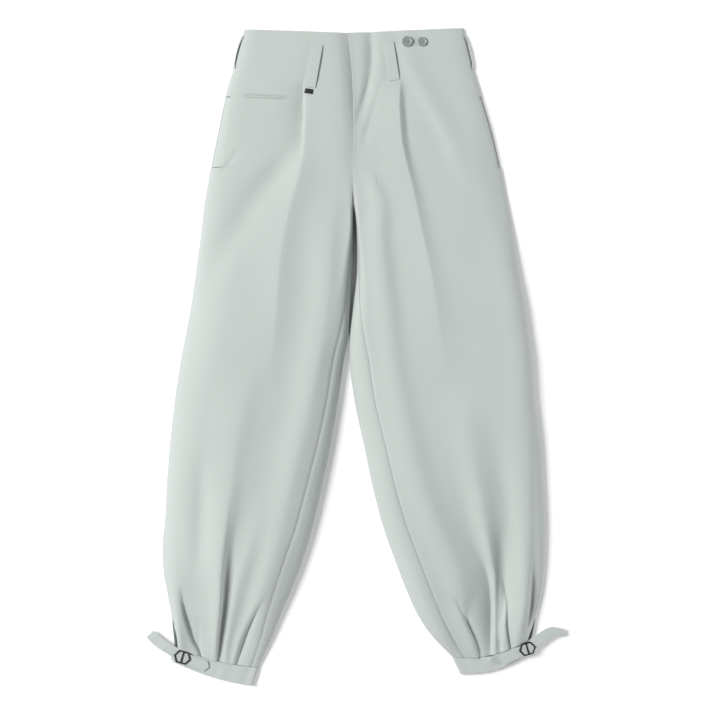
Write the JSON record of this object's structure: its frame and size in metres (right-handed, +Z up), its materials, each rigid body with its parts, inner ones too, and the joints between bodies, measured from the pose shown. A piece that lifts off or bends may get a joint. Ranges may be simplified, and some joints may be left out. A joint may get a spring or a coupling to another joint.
{
  "type": "knickerbocker trousers",
  "caption": "Wide knickerbocker work trousers in smooth pale twill, laid flat: pleated front with fly, belt loops, welt pocket, and legs gathered into buckled cuffs.",
  "frame": {"origin": "on the surface that the trousers lie on, under the middle of their bounding box", "axes": "+X to the viewer's right, which is the wearer's left; +Y towards the waist; +Z up, out of the front"},
  "size_m": [0.6272, 0.985, 0.0408],
  "materials": {
    "twill": "smooth fine cotton and polyester twill, pale mint grey, faint sheen",
    "button_resin": "grey-green resin, satin",
    "buckle_metal": "dark antique metal, satin",
    "label_cloth": "black woven tape, plain"
  },
  "bodies": {
    "root": {"front_right": "twill", "front_left": "twill", "back_right": "twill", "back_left": "twill", "pocket_facing_right": "twill", "pocket_facing_left": "twill", "belt_loop_front_right": "twill", "belt_loop_front_left": "twill", "belt_loop_side_right": "twill", "belt_loop_side_left": "twill", "belt_loop_back": "twill", "coin_pocket_welt": "twill", "label_tab": "label_cloth", "button_inner": "button_resin", "button_outer": "button_resin", "cuff_right": "twill", "cuff_left": "twill", "cuff_strap_right": "twill", "cuff_strap_left": "twill", "buckle_tab_right": "twill", "buckle_tab_left": "twill", "buckle_right": "buckle_metal", "buckle_left": "buckle_metal"}
  },
  "joints": []
}
